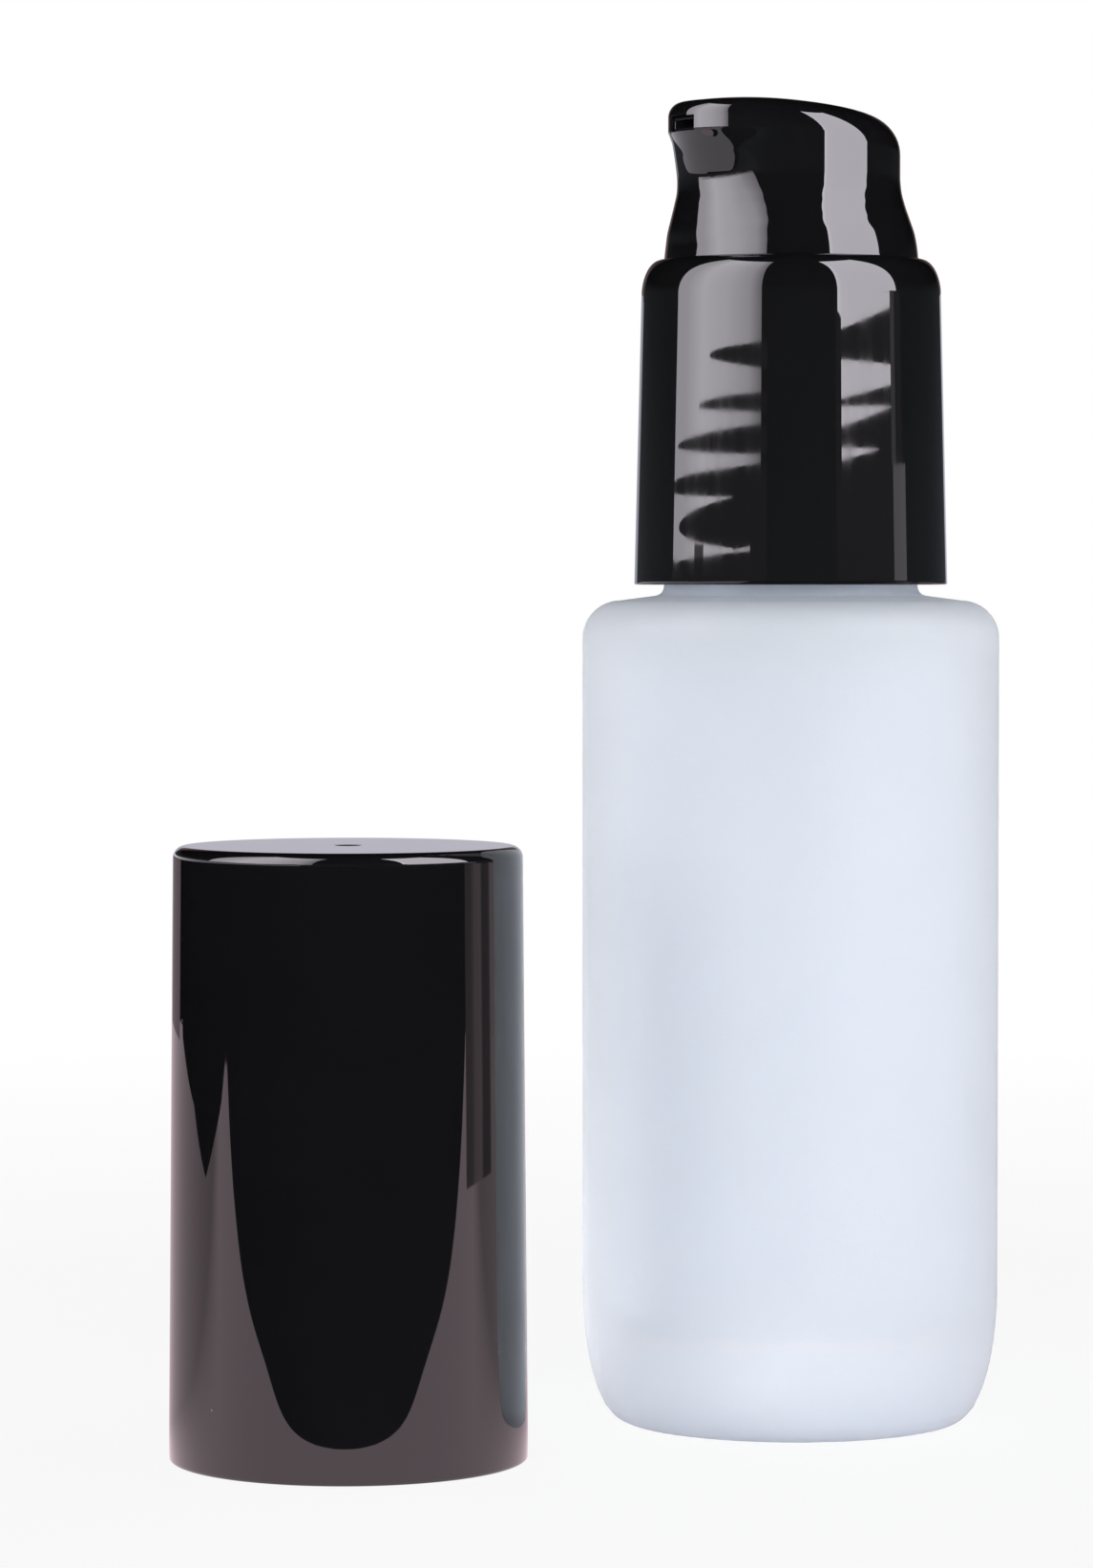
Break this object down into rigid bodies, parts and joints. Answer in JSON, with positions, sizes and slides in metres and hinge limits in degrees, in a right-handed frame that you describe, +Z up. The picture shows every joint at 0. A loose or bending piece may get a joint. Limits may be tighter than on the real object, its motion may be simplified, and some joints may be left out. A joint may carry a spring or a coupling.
{
  "type": "glass pump bottle",
  "caption": "Round frosted glass bottle with a black treatment pump, its tall overcap standing beside it: the collar unscrews, the actuator presses and turns, and the overcap lifts.",
  "frame": {"origin": "on the table, under the centre of the whole set: bottle and standing overcap", "axes": "+Z up, along the bottle's axis; +X to the right, from the overcap towards the bottle; -Y towards the viewer"},
  "size_m": [0.0646, 0.0506, 0.1045],
  "materials": {
    "frosted_glass": "acid frosted, pale blue-white",
    "gloss_black": "glossy moulded",
    "natural_plastic": "natural, slightly translucent",
    "soft_plastic": "soft moulded",
    "white_foam": "closed-cell foam",
    "bright_steel": "bright drawn"
  },
  "bodies": {
    "bottle": {"glass_bottle": "frosted_glass"},
    "pump_body": {"pump_housing": "natural_plastic", "stem_guide": "natural_plastic", "neck_gasket": "white_foam", "spring_seat": "natural_plastic", "dip_tube": "natural_plastic", "return_spring": "bright_steel"},
    "closure": {"threaded_closure": "natural_plastic", "collar_sleeve": "gloss_black"},
    "plunger": {"stem": "natural_plastic", "piston_rod": "natural_plastic"},
    "sliding_piston": {"piston": "soft_plastic"},
    "head": {"actuator_shell": "gloss_black", "actuator_core": "gloss_black", "nozzle_insert": "gloss_black"},
    "valve_ball": {"inlet_ball": "bright_steel"},
    "cap": {"overcap": "gloss_black"}
  },
  "joints": [
    {"name": "pump_rise", "type": "slide", "parent": "bottle", "child": "pump_body", "axis": [0, 0, 1], "range_m": [0, 0.00397]},
    {"name": "closure_turn", "type": "hinge", "parent": "pump_body", "child": "closure", "pos_m": [0.01578, 0.00882, 0.0742], "axis": [0, 0, 1], "range_deg": [0, 450]},
    {"name": "pump_stroke", "type": "slide", "parent": "pump_body", "child": "plunger", "axis": [0, 0, -1], "range_m": [0, 0.0045], "stiffness_N_per_m": 1200, "springref_m": -0.004, "deforming": ["return_spring"]},
    {"name": "piston_shift", "type": "slide", "parent": "plunger", "child": "sliding_piston", "axis": [0, 0, 1], "range_m": [0, 0.0005]},
    {"name": "actuator_turn", "type": "hinge", "parent": "plunger", "child": "head", "pos_m": [0.01578, 0.00882, 0.0942], "axis": [0, 0, 1], "continuous": true},
    {"name": "ball_lift", "type": "slide", "parent": "pump_body", "child": "valve_ball", "axis": [0, 0, 1], "range_m": [0, 0.0009]},
    {"name": "overcap_lift", "type": "slide", "parent": "bottle", "child": "cap", "axis": [0, 0, 1], "range_m": [0, 0.12]}
  ],
  "couplings": [
    {"joint": "pump_rise", "follows": "closure_turn", "m_per_rad": 0.00050532}
  ]
}
